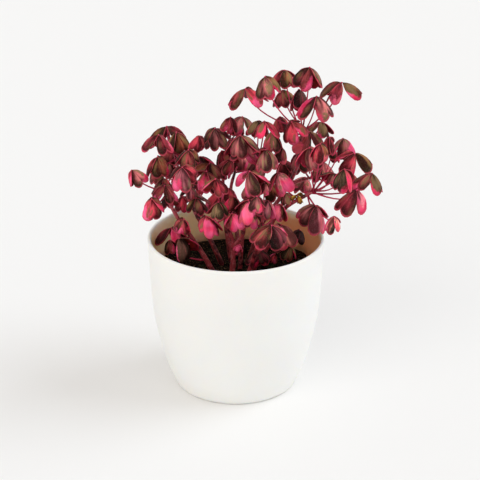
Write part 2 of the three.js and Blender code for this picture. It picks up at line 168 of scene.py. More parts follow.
# The stems, as in the part's source: routes of (x, y, z), and leaves of (x, y, z of the point where the
# leaflets meet, heading of the first leaflet in degrees, leaflet length, droop in degrees, colours of its
# upper sides as one letter for all three, or one for each)
STEMS = [
    {
        "name": "left_low",
        "radii": (2.3, 1.2),
        "routes": [
            [(-17, -4, 91), (-25, -7, 108), (-36, -9, 127), (-42, -9, 136), (-50, -6, 150), (-54, -6, 160)],
        ],
        "leaves": [
            (-78, -8, 178, 75, 14, 44, "mrp"),
            (-53, -14, 168, 200, 14, 24, "rmm"),
            (-62, -33, 165, 45, 18, 46, "mrr"),
            (-53, 4, 153, 260, 13, 36, "d"),
            (-47, -2, 129, 60, 13, 41, "gdk"),
            (-52, 12, 112, 260, 11, 46, "m"),
            (-39, -16, 142, 275, 13, 46, "kkm"),
            (-54, 8, 165, 185, 13, 22, "prr"),
            (-50, 14, 122, 60, 16, 4, "rrr"),
            (-43, -18, 127, 75, 18, 64, "b"),
        ],
    },
    {
        "name": "left_tall",
        "radii": (2.2, 1.1),
        "routes": [
            [(-11, 13, 91), (-22, 16, 115), (-31, 20, 131), (-37, 22, 145), (-44, 20, 168), (-47, 16, 184)],
        ],
        "leaves": [
            (-53, 36, 197, 90, 21, 6, "ror"),
            (-57, -14, 208, 60, 18, 26, "rkr"),
            (-45, 17, 199, 80, 18, 36, "roo"),
            (-59, 4, 184, 45, 18, 44, "oro"),
            (-35, -16, 197, 30, 17, 38, "opm"),
            (-27, 0, 202, 240, 13, 36, "rmr"),
            (-49, 36, 182, 265, 18, 46, "m"),
            (-51, 24, 171, 280, 12, 46, "p"),
            (-39, -36, 191, 15, 18, 44, "rmq"),
            (-30, -2, 153, 190, 13, 22, "omm"),
            (-34, 8, 158, 290, 12, 36, "qmm"),
        ],
    },
    {
        "name": "middle_back",
        "radii": (2.0, 1.1),
        "routes": [
            [(-4, 20, 91), (-8, 24, 120), (-10, 26, 150), (-8, 26, 178), (-4, 26, 192)],
            [(-10, 26, 150), (-15, 16, 160), (-20, 8, 168)],
        ],
        "leaves": [
            (-16, 14, 203, 30, 16, 38, "qmp"),
            (-4, 14, 212, 268, 14, 36, "krm"),
            (-11, 28, 180, 275, 16, 44, "r"),
            (-28, 34, 173, 265, 16, 41, "d"),
            (-20, 12, 176, 305, 18, 24, "mro"),
            (5, 38, 204, 5, 18, 17, "pmp"),
            (-4, 10, 179, 290, 14, 41, "r"),
            (-22, -8, 177, 235, 17, 41, "kmm"),
            (-19, 40, 193, 185, 15, 44, "d"),
            (2, 50, 197, 280, 13, 40, "r"),
        ],
    },
    {
        "name": "middle_front",
        "radii": (2.6, 1.2),
        "routes": [
            [(-3, -8, 91), (-2, -11, 117), (-6, -16, 135), (-10, -21, 150)],
            [(-2, -11, 117), (5, -18, 129), (6, -24, 146), (7, -22, 156)],
        ],
        "leaves": [
            (-15, -31, 180, 45, 14, 36, "kor"),
            (-13, -34, 163, 0, 14, 36, "gog"),
            (-22, -30, 150, 290, 16, 46, "k"),
            (-3, -34, 154, 280, 13, 46, "k"),
            (-1, -6, 156, 255, 14, 41, "m"),
            (-5, 6, 158, 270, 12, 46, "r"),
            (9, -40, 167, 240, 17, 41, "kpp"),
            (3, -14, 120, 250, 7, 46, "k"),
        ],
    },
    {
        "name": "middle_tall",
        "radii": (2.0, 1.1),
        "routes": [
            [(3, 5, 91), (6, 5, 130), (11, -2, 160), (16, -6, 182)],
        ],
        "leaves": [
            (3, -14, 208, 0, 20, 41, "pmp"),
            (7, 6, 195, 310, 17, 29, "prq"),
            (22, -18, 198, 0, 17, 33, "prp"),
            (10, -31, 186, 30, 18, 29, "mkp"),
            (11, -16, 170, 250, 12, 46, "p"),
            (27, 8, 203, 290, 16, 46, "poo"),
            (21, -6, 216, 105, 16, 24, "rmr"),
            (35, 10, 189, 280, 13, 46, "m"),
            (17, 26, 205, 250, 15, 46, "v"),
        ],
    },
    {
        "name": "right_tall",
        "radii": (2.2, 1.2),
        "routes": [
            [(9, 13, 91), (20, 16, 124), (36, 16, 149), (47, 13, 174), (50, 10, 204)],
        ],
        "leaves": [
            (7, 10, 236, 80, 19, 14, "rmr"),
            (21, -8, 251, 273, 17, 42, "pok"),
            (36, 20, 247, 60, 15, 34, "oro"),
            (54, 2, 255, 105, 18, 47, "omp"),
            (78, 6, 242, 240, 20, 10, "rvm"),
            (59, -8, 236, 330, 19, 32, "prk"),
            (35, 33, 227, 240, 14, 42, "moo"),
            (47, 14, 234, 45, 16, 46, "d"),
            (33, 24, 209, 262, 13, 38, "r"),
            (41, -5, 215, 225, 16, 36, "rmr"),
            (65, 31, 202, 300, 15, 34, "vkp"),
            (55, 18, 199, 30, 19, 30, "ppm"),
            (42, 2, 112, 270, 12, 36, "v"),
            (30, 6, 103, 260, 7, 46, "k"),
            (49, 2, 125, 270, 11, 46, "n"),
        ],
    },
    {
        "name": "right_low",
        "radii": (2.6, 1.3),
        "routes": [
            [(12, -1, 91), (25, 0, 115), (27, 0, 131), (37, -1, 144), (59, -3, 159)],
        ],
        "leaves": [
            (54, -16, 199, 260, 19, 41, "p"),
            (61, -35, 209, 0, 14, 44, "okr"),
            (69, -10, 205, 235, 14, 41, "r"),
            (81, 20, 193, 285, 17, 40, "pmq"),
            (88, -10, 192, 12, 19, 24, "orr"),
            (102, -4, 174, 105, 18, 20, "dmg"),
            (79, -37, 190, 105, 19, 46, "rgr"),
            (90, -16, 165, 240, 22, 28, "rqr"),
            (74, 6, 170, 250, 11, 22, "p"),
            (60, -12, 151, 75, 20, 34, "mpq"),
            (46, -8, 158, 190, 7, 14, "y"),
            (37, -4, 158, 265, 10, 46, "p"),
            (74, 34, 180, 280, 12, 36, "p"),
            (31, -10, 177, 285, 17, 44, "qrm"),
            (16, -6, 112, 225, 14, 27, "d"),
            (73, -24, 147, 90, 13, 42, "s"),
        ],
    },
    {
        "name": "front",
        "radii": (2.0, 1.1),
        "routes": [
            [(8, -16, 91), (14, -22, 115), (19, -28, 138), (20, -32, 154)],
            [(14, -22, 115), (24, -18, 122), (30, -14, 126)],
        ],
        "leaves": [
            (15, -55, 176, 15, 12, 46, "kpp"),
            (21, -23, 174, 330, 11, 36, "ppk"),
            (24, -22, 159, 262, 14, 46, "qqm"),
            (33, -13, 153, 262, 14, 46, "k"),
            (26, -52, 152, 90, 21, 38, "mmd"),
            (34, -18, 138, 60, 19, 50, "sms"),
            (13, -24, 151, 262, 14, 46, "p"),
        ],
    },
    {
        "name": "back",
        "radii": (2.2, 1.2),
        "routes": [
            [(2, 30, 91), (0, 40, 115), (-4, 48, 140), (0, 50, 156)],
            [(0, 40, 115), (-22, 50, 128), (-38, 50, 140)],
            [(0, 40, 115), (25, 50, 130), (48, 48, 146), (62, 44, 152)],
        ],
        "leaves": [
            (-61, 48, 163, 100, 17, 29, "m"),
            (-44, 62, 149, 80, 18, 36, "o"),
            (-23, 66, 144, 95, 17, 36, "r"),
            (2, 66, 165, 60, 18, 36, "p"),
            (-11, 52, 137, 110, 17, 36, "r"),
            (20, 50, 167, 70, 18, 36, "p"),
            (49, 42, 173, 80, 18, 29, "p"),
            (67, 50, 163, 95, 17, 36, "p"),
            (88, 36, 159, 60, 17, 36, "m"),
            (22, 56, 145, 75, 18, 36, "o"),
            (38, 60, 160, 95, 17, 36, "r"),
            (-42, 46, 135, 120, 14, 36, "r"),
            (55, 62, 145, 100, 16, 29, "p"),
        ],
    },
]

# Colours of the upper sides: (field, patches, how far the blush goes, how much is patches)
UPPER_SIDES = {
    "p": ("#a65a58", "#735a3c", 0.46, 0.42),
    "q": ("#b8606a", "#7a5a48", 0.64, 0.26),
    "k": ("#a83440", "#6a4428", 0.96, 0.20),
    "m": ("#82302f", "#5e4226", 0.42, 0.38),
    "o": ("#7e4026", "#6a5228", 0.28, 0.60),
    "r": ("#962432", "#6a3826", 0.36, 0.32),
    "d": ("#561a22", "#362016", 0.22, 0.45),
    "g": ("#6b5838", "#584a2c", 0.34, 0.65),
    "v": ("#6e4228", "#5a4a28", 0.12, 0.60),
    "s": ("#e4857a", "#4a4430", 0.50, 0.16),
    "y": ("#e0b038", "#a06a24", 0.00, 0.35),
    "b": ("#5e4636", "#463222", 0.00, 0.50),
    "n": ("#200e0c", "#140c08", 0.00, 0.40),
}
STEM_OLD = "#98383e"
STEM_YOUNG = "#a83a48"
PETIOLE_LOW = "#b02c4a"
PETIOLE_HIGH = "#e0486c"

# Settings that many nodes share, and what the pot's plastic is like inside and out
SMOOTH = {"interpolation_type": "SMOOTHSTEP"}
COLOUR = {"data_type": "RGBA"}
PLASTIC = {
    "IOR": 1.49, "Subsurface Weight": 0.7, "Subsurface Radius": (1.0, 0.85, 0.65),
    "Subsurface Scale": 4 * MM,
}


# Small tools


def linear(code):
    """Linear red, green, blue and alpha of an sRGB hex colour."""
    parts = [int(code[i:i + 2], 16) / 255 for i in (1, 3, 5)]
    return tuple(p / 12.92 if p <= 0.04045 else ((p + 0.055) / 1.055) ** 2.4 for p in parts) + (1.0,)


def blend_of(first, second, share):
    """A colour between two linear colours."""
    return tuple(a + (b - a) * share for a, b in zip(first, second))


def lit(colour, light):
    """A linear colour made lighter or darker, up to full strength."""
    return [min(part * light, 1.0) for part in colour[:3]] + [1.0]


def seeded_draw(seed):
    """A function that draws between 0 and 1, the same run as in the part's source."""
    state = seed

    def draw():
        nonlocal state
        state = (state * 1103 + 12345) % 65536
        return state / 65536
    return draw


def varied(draw, least, spread):
    """A drawn value between least and least and spread together."""
    return least + spread * draw()


def smooth_step(low, high, value):
    """Rises from 0 at low to 1 at high, with soft ends."""
    share = min(max((value - low) / (high - low), 0.0), 1.0)
    return share * share * (3 - 2 * share)


def curve_point(start, start_slope, end, end_slope, part):
    """A point of the cubic curve between two points with the given slopes."""
    square = end * 3 - start * 3 - start_slope * 2 - end_slope
    cube = start * 2 - end * 2 + start_slope + end_slope
    return start + start_slope * part + square * part ** 2 + cube * part ** 3


def piece_from(bm, name, materials, replaced):
    """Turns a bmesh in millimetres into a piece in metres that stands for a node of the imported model."""
    bmesh.ops.scale(bm, vec=(MM, MM, MM), verts=bm.verts)
    for face in bm.faces:
        face.smooth = True
    mesh = bpy.data.meshes.new(name)
    bm.to_mesh(mesh)
    bm.free()
    for material in materials:
        mesh.materials.append(material)
    piece = bpy.data.objects.new(name, mesh)
    bpy.context.collection.objects.link(piece)
    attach(piece, "root")
    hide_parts(replaced)
    return piece


# Materials


def empty_material(name):
    """A material without nodes, and its node tree."""
    material = bpy.data.materials.new(name)
    material.use_nodes = True
    material.node_tree.nodes.clear()
    return material, material.node_tree


def add(tree, kind, inputs=(), **settings):
    """Adds a node with its settings. Its inputs, in order or by name, are values, nodes or sockets."""
    node = tree.nodes.new("ShaderNode" + kind)
    for name, value in settings.items():
        setattr(node, name, value)
    live = [socket for socket in node.inputs if socket.enabled]
    if isinstance(inputs, dict):
        live = [next(socket for socket in live if socket.name == name) for name in inputs]
        inputs = inputs.values()
    for socket, value in zip(live, inputs):
        if isinstance(value, bpy.types.Node):
            value = next(output for output in value.outputs if output.enabled)
        if isinstance(value, bpy.types.NodeSocket):
            tree.links.new(value, socket)
        else:
            socket.default_value = value
    return node


def per_mm(size):
    """The scale of a noise whose blotches are about this many millimetres wide."""
    return 1 / (size * MM)


def pot_plastic():
    # Injection moulded polypropylene, warm white: an even, faintly satin skin with some light through it.
    # Its moulded grain is drawn coarser than it is, so that it shows
    material, tree = empty_material("moulded polypropylene, matt white")
    place = add(tree, "TexCoord").outputs["Object"]
    broad = add(tree, "TexNoise", {"Vector": place, "Scale": per_mm(40)})
    broad = add(tree, "MapRange", (broad, 0.3, 0.7), **SMOOTH)
    white = add(tree, "Mix", (broad, linear("#f6f4ef"), linear("#f5f3ee")), **COLOUR)
    satin = add(tree, "TexNoise", {"Vector": place, "Scale": per_mm(2)})
    satin = add(tree, "Math", (satin, 0.14, 0.36), operation="MULTIPLY_ADD")
    fine = add(tree, "TexNoise", {"Vector": place, "Scale": per_mm(0.9), "Detail": 3.0})
    bump = add(tree, "Bump", {"Height": fine, "Distance": 0.02 * MM, "Strength": 1.0})
    shader = add(tree, "BsdfPrincipled", {
        "Base Color": white, "Roughness": satin, "Normal": bump, **PLASTIC})
    add(tree, "OutputMaterial", {"Surface": shader})
    return material


def pot_inside():
    # The same plastic inside, tan with painted shade and warm light thrown back from the leaves: browner to
    # one side, darker towards the soil, paler towards the rim
    material, tree = empty_material("moulded polypropylene, inside with painted shade")
    place = add(tree, "TexCoord").outputs["Object"]
    sideways, _, height = add(tree, "SeparateXYZ", (place,)).outputs
    ragged_height = add(tree, "TexNoise", {"Vector": place, "Scale": per_mm(9), "Detail": 4.0})
    ragged_height = add(tree, "Math", (ragged_height, 0.5), operation="SUBTRACT")
    ragged_height = add(tree, "Math", (ragged_height, 12 * MM, height), operation="MULTIPLY_ADD")
    # Painted warm light thrown back from the leaves: browner to one side
    side = add(tree, "MapRange", (sideways, -30 * MM, 50 * MM), **SMOOTH)
    tan = add(tree, "Mix", (side, linear("#f0dfc4"), linear("#e8bd8c")), **COLOUR)
    # Painted shade: darker towards the soil, paler again near the rim
    above_painted_shade = add(tree, "MapRange", (ragged_height, 88 * MM, 100 * MM), **SMOOTH)
    tan = add(tree, "Mix", (above_painted_shade, linear("#b08c66"), tan), **COLOUR)
    near_rim = add(tree, "MapRange", (ragged_height, 113 * MM, 121 * MM), **SMOOTH)
    tan = add(tree, "Mix", (near_rim, tan, linear("#f6eedf")), **COLOUR)
    fine = add(tree, "TexNoise", {"Vector": place, "Scale": per_mm(0.9), "Detail": 3.0})
    bump = add(tree, "Bump", {"Height": fine, "Distance": 0.02 * MM, "Strength": 1.0})
    shader = add(tree, "BsdfPrincipled", {
        "Base Color": tan, "Roughness": 0.55, "Normal": bump, **PLASTIC})
    add(tree, "OutputMaterial", {"Surface": shader})
    return material


def peat():
    # Moist peat compost: nearly black, crumbly and dull, with brown fibres and a breath of green
    material, tree = empty_material("moist peat compost, crumbled")
    place = add(tree, "TexCoord").outputs["Object"]
    broad = add(tree, "TexNoise", {"Vector": place, "Scale": per_mm(4), "Detail": 4.0})
    broad = add(tree, "MapRange", (broad, 0.35, 0.7), **SMOOTH)
    soil = add(tree, "Mix", (broad, linear("#060404"), linear("#24180f")), **COLOUR)
    fibres = add(tree, "TexNoise", {"Vector": place, "Scale": per_mm(1.2), "Detail": 4.0})
    fibres = add(tree, "MapRange", (fibres, 0.56, 0.7), **SMOOTH)
    soil = add(tree, "Mix", (fibres, soil, linear("#7e6248")), **COLOUR)
    green = add(tree, "TexNoise", {"Vector": place, "Scale": per_mm(11), "Detail": 3.0})
    green = add(tree, "MapRange", (green, 0.62, 0.8), **SMOOTH)
    soil = add(tree, "Mix", (green, soil, linear("#2c3620")), **COLOUR)
    crumbs = add(tree, "TexNoise", {"Vector": place, "Scale": per_mm(0.8), "Detail": 5.0, "Roughness": 0.7})
    bump = add(tree, "Bump", {"Height": crumbs, "Distance": 0.6 * MM, "Strength": 1.0})
    shader = add(tree, "BsdfPrincipled", {
        "Base Color": soil, "Roughness": 0.95, "Specular IOR Level": 0.08, "Normal": bump})
    add(tree, "OutputMaterial", {"Surface": shader})
    return material


def leaf_place(tree):
    """Across the leaflet from -1 to 1, distance from its rib, and along it from 0 to 1, from its UV map."""
    uv = add(tree, "UVMap", uv_map="leaflet")
    sideways, along, _ = add(tree, "SeparateXYZ", (uv,)).outputs
    across = add(tree, "Math", (sideways, 2.0, -1.0), operation="MULTIPLY_ADD")
    distance = add(tree, "Math", (across,), operation="ABSOLUTE")
    return across, distance, along


def fan_of_veins(tree, distance):
    """The rib at full strength, and the veins that fan out from the base at half."""
    rib = add(tree, "MapRange", (distance, 0.07, 0.0), **SMOOTH)
    veins = add(tree, "Math", (distance, 10.0), operation="MULTIPLY")
    veins = add(tree, "Math", (veins,), operation="SINE")
    veins = add(tree, "Math", (veins,), operation="ABSOLUTE")
    veins = add(tree, "MapRange", (veins, 0.2, 0.0, 0.0, 0.5), **SMOOTH)
    return add(tree, "Math", (rib, veins), operation="MAXIMUM")


def edge_strip(tree, distance, along, low, high, strength):
    """A soft strip along the leaflet's edge."""
    outward = add(tree, "Math", (along, distance), operation="MAXIMUM")
    return add(tree, "MapRange", (outward, low, high, 0.0, strength), **SMOOTH)


def sectors(tree, across, along, lean):
    """Broad noise about 0, in sectors that run out from the base and are unlike on any two leaflets."""
    wide = add(tree, "Math", (across, 1.7), operation="MULTIPLY")
    own = add(tree, "Math", (lean, 40.0), operation="MULTIPLY")
    sector = add(tree, "CombineXYZ", (wide, along, own))
    broad = add(tree, "TexNoise", {"Vector": sector, "Scale": 1.3, "Detail": 1.0})
    return add(tree, "Math", (broad, 0.5), operation="SUBTRACT")


def patch_share(tree, distance, along, broad, ragged, patches):
    """Where the patches lie: in sectors with a ragged line, more towards the outer corners."""
    outer = add(tree, "Math", (distance, 0.45), operation="SUBTRACT")
    outer = add(tree, "Math", (outer, along), operation="MULTIPLY")
    share = add(tree, "Math", (ragged, 0.4, broad), operation="MULTIPLY_ADD")
    share = add(tree, "Math", (patches, 0.35, share), operation="MULTIPLY_ADD")
    share = add(tree, "Math", (outer, 0.45, share), operation="MULTIPLY_ADD")
    return add(tree, "MapRange", (share, 0.155, 0.255), **SMOOTH)


def pink_share(tree, across, along, broad, ragged, tilt, blush):
    """Where the skin is pink: from the lobes inwards, more on one side, to a ragged line."""
    side = add(tree, "Math", (across, along), operation="MULTIPLY")
    reach = add(tree, "Math", (side, tilt, blush), operation="MULTIPLY_ADD")
    reach = add(tree, "Math", (along, 0.75, reach), operation="MULTIPLY_ADD")
    reach = add(tree, "Math", (broad, -1.1, reach), operation="MULTIPLY_ADD")
    reach = add(tree, "Math", (ragged, 0.4, reach), operation="MULTIPLY_ADD")
    return add(tree, "MapRange", (reach, 1.1, 1.34), **SMOOTH)


def painted_light_share(tree, place, broad, tilt, lean):
    """Painted light and shade on the skin: a painted highlight in the middle of the dome and on one half,
    painted shade on the other half, with soft streaks from the base.
    """
    across, distance, along = place
    wide = add(tree, "Math", (across, 2.6), operation="MULTIPLY")
    far = add(tree, "Math", (along, 1.5), operation="MULTIPLY")
    own = add(tree, "Math", (lean, 70.0), operation="MULTIPLY")
    streak = add(tree, "CombineXYZ", (wide, far, own))
    streak = add(tree, "TexNoise", {"Vector": streak, "Scale": 1.5, "Detail": 5.0, "Roughness": 0.7})
    dome = add(tree, "Math", (along, pi), operation="MULTIPLY")
    dome = add(tree, "Math", (dome,), operation="SINE")
    inward = add(tree, "Math", (distance, -0.6, 1.0), operation="MULTIPLY_ADD")
    dome = add(tree, "Math", (dome, inward), operation="MULTIPLY")
    half = add(tree, "Math", (across, tilt), operation="MULTIPLY")
    light = add(tree, "Math", (dome, 0.5), operation="MULTIPLY")
    light = add(tree, "Math", (streak, 0.35, light), operation="MULTIPLY_ADD")
    light = add(tree, "Math", (broad, 1.2, light), operation="MULTIPLY_ADD")
    light = add(tree, "Math", (half, 0.4, light), operation="MULTIPLY_ADD")
    return add(tree, "MapRange", (light, 0.21, 0.86), **SMOOTH)


def pink_skin(tree, place):
    """Hot pink, paler in places and salmon in a few."""
    pale = add(tree, "TexNoise", {"Vector": place, "Scale": per_mm(12), "Detail": 1.0})
    pale = add(tree, "MapRange", (pale, 0.4, 0.6), **SMOOTH)
    tone = add(tree, "Mix", (pale, linear("#ee285c"), linear("#fc5e90")), **COLOUR)
    warm = add(tree, "TexNoise", {"Vector": place, "Scale": per_mm(16), "Detail": 1.0})
    warm = add(tree, "MapRange", (warm, 0.55, 0.7, 0.0, 0.5), **SMOOTH)
    return add(tree, "Mix", (warm, tone, linear("#e87870")), **COLOUR)


def leaf_upper():
    # Velvety upper skin of a variegated sorrel leaf: maroon to dusty rose, olive patches and hot pink lobes
    material, tree = empty_material("sorrel leaf, velvety upper side")
    across, distance, along = leaf_place(tree)
    place = add(tree, "TexCoord").outputs["Object"]
    field = add(tree, "Attribute", attribute_name="field")
    patch = add(tree, "Attribute", attribute_name="patch")
    habit = add(tree, "Attribute", attribute_name="habit").outputs["Vector"]
    blush, patches, lean = add(tree, "SeparateXYZ", (habit,)).outputs
    tilt = add(tree, "Math", (lean, 0.5), operation="SUBTRACT")
    broad = sectors(tree, across, along, lean)
    ragged = add(tree, "TexNoise", {"Vector": place, "Scale": per_mm(2.2), "Detail": 4.0})
    ragged = add(tree, "Math", (ragged, 0.5), operation="SUBTRACT")
    fine = add(tree, "TexNoise", {"Vector": place, "Scale": per_mm(0.9), "Detail": 3.0})
    # A field with darker patches and pink, and crimson veins
    patchy = patch_share(tree, distance, along, broad, ragged, patches)
    skin = add(tree, "Mix", (patchy, field, patch), **COLOUR)
    pink = pink_share(tree, across, along, broad, ragged, tilt, blush)
    skin = add(tree, "Mix", (pink, skin, pink_skin(tree, place)), **COLOUR)
    veins = fan_of_veins(tree, distance)
    faint = add(tree, "Math", (veins, 0.3), operation="MULTIPLY")
    skin = add(tree, "Mix", (faint, skin, linear("#c43458")), **COLOUR)
    # Painted light and shade multiply the skin, drawn stronger where the skin isn't pink
    light = painted_light_share(tree, (across, distance, along), broad, tilt, lean)
    painted_light_and_shade = add(tree, "Mix", (light, (0.2, 0.15, 0.16, 1.0), (2.2, 2.15, 2.25, 1.0)), **COLOUR)
    strength = add(tree, "Math", (pink, -0.65, 1.0), operation="MULTIPLY_ADD")
    skin = add(tree, "Mix", (strength, skin, painted_light_and_shade), blend_type="MULTIPLY", **COLOUR)
    # A painted sheen pales the lighter skin, fine hairs grey it, drawn coarser than they are, and a thin rim
    # is crimson
    painted_sheen = add(tree, "Math", (light, 0.09), operation="MULTIPLY")
    skin = add(tree, "Mix", (painted_sheen, skin, linear("#c68e94")), **COLOUR)
    hairs = add(tree, "MapRange", (fine, 0.45, 0.75, 0.0, 0.08), **SMOOTH)
    skin = add(tree, "Mix", (hairs, skin, linear("#c09a96")), **COLOUR)
    rim = edge_strip(tree, distance, along, 0.91, 0.98, 0.65)
    coloured = add(tree, "MapRange", (blush, 0.0, 0.2), **SMOOTH)
    rim = add(tree, "Math", (rim, coloured), operation="MULTIPLY")
    skin = add(tree, "Mix", (rim, skin, linear("#e0586a")), **COLOUR)
    relief = add(tree, "Math", (veins, -0.8, fine), operation="MULTIPLY_ADD")
    bump = add(tree, "Bump", {"Height": relief, "Distance": 0.12 * MM, "Strength": 1.0})
    shader = add(tree, "BsdfPrincipled", {
        "Base Color": skin, "Roughness": 0.6, "IOR": 1.4, "Specular IOR Level": 0.12, "Normal": bump,
        "Subsurface Weight": 0.08, "Subsurface Radius": (1.0, 0.1, 0.1), "Subsurface Scale": 0.8 * MM})
    add(tree, "OutputMaterial", {"Surface": shader})
    return material


def leaf_under():
    # Smooth lower skin: deep crimson to orange red, shinier than the upper side
    material, tree = empty_material("sorrel leaf, smooth crimson lower side")
    _, distance, along = leaf_place(tree)
    place = add(tree, "TexCoord").outputs["Object"]
    warm = add(tree, "TexNoise", {"Vector": place, "Scale": per_mm(22), "Detail": 1.0})
    warm = add(tree, "MapRange", (warm, 0.42, 0.58), **SMOOTH)
    skin = add(tree, "Mix", (warm, linear("#80182c"), linear("#741e16")), **COLOUR)
    dark = add(tree, "TexNoise", {"Vector": place, "Scale": per_mm(5), "Detail": 3.0})
    dark = add(tree, "MapRange", (dark, 0.42, 0.75), **SMOOTH)
    skin = add(tree, "Mix", (dark, skin, linear("#420a12")), **COLOUR)
    veins = fan_of_veins(tree, distance)
    faint = add(tree, "Math", (veins, 0.3), operation="MULTIPLY")
    skin = add(tree, "Mix", (faint, skin, linear("#c02848")), **COLOUR)
    rim = edge_strip(tree, distance, along, 0.9, 1.0, 0.45)
    skin = add(tree, "Mix", (rim, skin, linear("#d02448")), **COLOUR)
    bump = add(tree, "Bump", {"Height": veins, "Distance": 0.1 * MM, "Strength": 1.0})
    shader = add(tree, "BsdfPrincipled", {
        "Base Color": skin, "Roughness": 0.45, "IOR": 1.42, "Specular IOR Level": 0.2, "Normal": bump,
        "Subsurface Weight": 0.1, "Subsurface Radius": (1.0, 0.1, 0.1), "Subsurface Scale": 1 * MM})
    add(tree, "OutputMaterial", {"Surface": shader})
    return material


def petiole_skin():
    # Slender petiole: smooth crimson skin
    material, tree = empty_material("sorrel petiole, crimson skin")
    place = add(tree, "TexCoord").outputs["Object"]
    tone = add(tree, "Attribute", attribute_name="tone")
    dark = add(tree, "TexNoise", {"Vector": place, "Scale": per_mm(4)})
    dark = add(tree, "MapRange", (dark, 0.4, 0.7, 0.0, 0.35), **SMOOTH)
    skin = add(tree, "Mix", (dark, tone, linear("#8a1830")), **COLOUR)
    shader = add(tree, "BsdfPrincipled", {
        "Base Color": skin, "Roughness": 0.5, "IOR": 1.4, "Specular IOR Level": 0.3})
    add(tree, "OutputMaterial", {"Surface": shader})
    return material


def stem_skin():
    # Fleshy living stem: smooth moist crimson skin, mottled maroon, with pale mottles as painted highlights,
    # and light a little way in
    material, tree = empty_material("sorrel stem, fleshy skin")
    place = add(tree, "TexCoord").outputs["Object"]
    tone = add(tree, "Attribute", attribute_name="tone")
    dark = add(tree, "TexNoise", {"Vector": place, "Scale": per_mm(5), "Detail": 4.0})
    dark = add(tree, "MapRange", (dark, 0.48, 0.62), **SMOOTH)
    skin = add(tree, "Mix", (dark, tone, linear("#460c14")), **COLOUR)
    # Painted highlights: pale pink mottles
    pale = add(tree, "TexNoise", {"Vector": place, "Scale": per_mm(2), "Detail": 3.0})
    pale = add(tree, "MapRange", (pale, 0.5, 0.7, 0.0, 0.5), **SMOOTH)
    skin = add(tree, "Mix", (pale, skin, linear("#c87c80")), **COLOUR)
    fine = add(tree, "TexNoise", {"Vector": place, "Scale": per_mm(0.7), "Detail": 3.0})
    bump = add(tree, "Bump", {"Height": fine, "Distance": 0.12 * MM, "Strength": 1.0})
    shader = add(tree, "BsdfPrincipled", {
        "Base Color": skin, "Roughness": 0.38, "IOR": 1.42, "Normal": bump,
        "Subsurface Weight": 0.12, "Subsurface Radius": (1.0, 0.3, 0.25), "Subsurface Scale": 1 * MM})
    add(tree, "OutputMaterial", {"Surface": shader})
    return material


def studio_paper():
    # Pale seamless background paper, matt
    material, tree = empty_material("pale studio paper")
    shader = add(tree, "BsdfPrincipled", {
        "Base Color": linear("#f2f2f2"), "Roughness": 0.8, "Specular IOR Level": 0.1})
    add(tree, "OutputMaterial", {"Surface": shader})
    return material


# Pot and soil


def wall_curve(count):
    """Radius and height of points up the outside wall: the source's even curve through its points."""
    dots = [Vector(point) for point in WALL_POINTS]
    dots = [dots[0]] + dots + [dots[-1]]
    points = []
    for step in range(count + 1):
        place = step / count * (len(WALL_POINTS) - 1)
        i = min(int(place), len(WALL_POINTS) - 2)
        before, low, high, after = dots[i:i + 4]
        points.append(curve_point(low, (high - before) / 2, high, (after - low) / 2, place - i))
    return points


def inner_radius(height):
    """Inside radius of the wall at a height."""
    line = wall_curve(WALL_SAMPLES)
    above = next(i for i, point in enumerate(line) if point.y >= height)
    low, high = line[above - 1], line[above]
    return low.x + (high.x - low.x) * (height - low.y) / (high.y - low.y) - WALL


def spun(profile, sides):
    """A closed round shell from a profile of (radius, height) that starts and ends on the axis."""
    bm = bmesh.new()
    verts = [bm.verts.new((radius, 0, height)) for radius, height in profile]
    edges = [bm.edges.new(pair) for pair in zip(verts, verts[1:])]
    bmesh.ops.spin(bm, geom=verts + edges, cent=(0, 0, 0), axis=(0, 0, 1), angle=2 * pi, steps=sides,
                   use_merge=True)
    bmesh.ops.remove_doubles(bm, verts=bm.verts, dist=0.01)
    bmesh.ops.recalc_face_normals(bm, faces=bm.faces)
    return bm


def pot_profile():
    """Radius and height round the pot: flat foot, rounded edge, swelling side, rolled rim and inside."""
    profile = [(0, 0), (FOOT_FLAT, 0)]
    profile += [(FOOT_RADIUS + out, up) for out, up in FOOT_EDGE]
    profile += [tuple(point) for point in wall_curve(WALL_STEPS)]
    half = WALL / 2
    for i in range(1, RIM_STEPS):
        turn = pi * i / RIM_STEPS
        profile.append((RIM_RADIUS - half + half * cos(turn), POT_HEIGHT - half + half * sin(turn)))
    for height in range(POT_HEIGHT - INSIDE_TOP, FLOOR + 2 * INSIDE_ROUND, -INSIDE_STEP):
        profile.append((inner_radius(height), height))
    low = inner_radius(FLOOR + INSIDE_ROUND)
    return profile + [(low, FLOOR + INSIDE_ROUND), (low - INSIDE_FLAT, FLOOR), (0, FLOOR)]


def make_pot(materials):
    """The pot, with its second material on the inside."""
    bm = spun(pot_profile(), POT_SIDES)
    for face in bm.faces:
        middle = face.calc_center_median()
        outward = Vector((middle.x, middle.y, 0)).normalized()
        if FLOOR - 1 < middle.z < POT_HEIGHT - RIM_BAND and face.normal.dot(outward) < TURNED_IN:
            face.material_index = 1
    piece_from(bm, "white_pot", materials, "pot")


def soil_height(x, y):
    """Height of the soil's surface, with low lumps."""
    lumps = 0
    for fineness, place, height in SOIL_LUMPS:
        lumps += height * noise.noise(Vector((x * fineness, y * fineness, place)))
    return SOIL_TOP + lumps


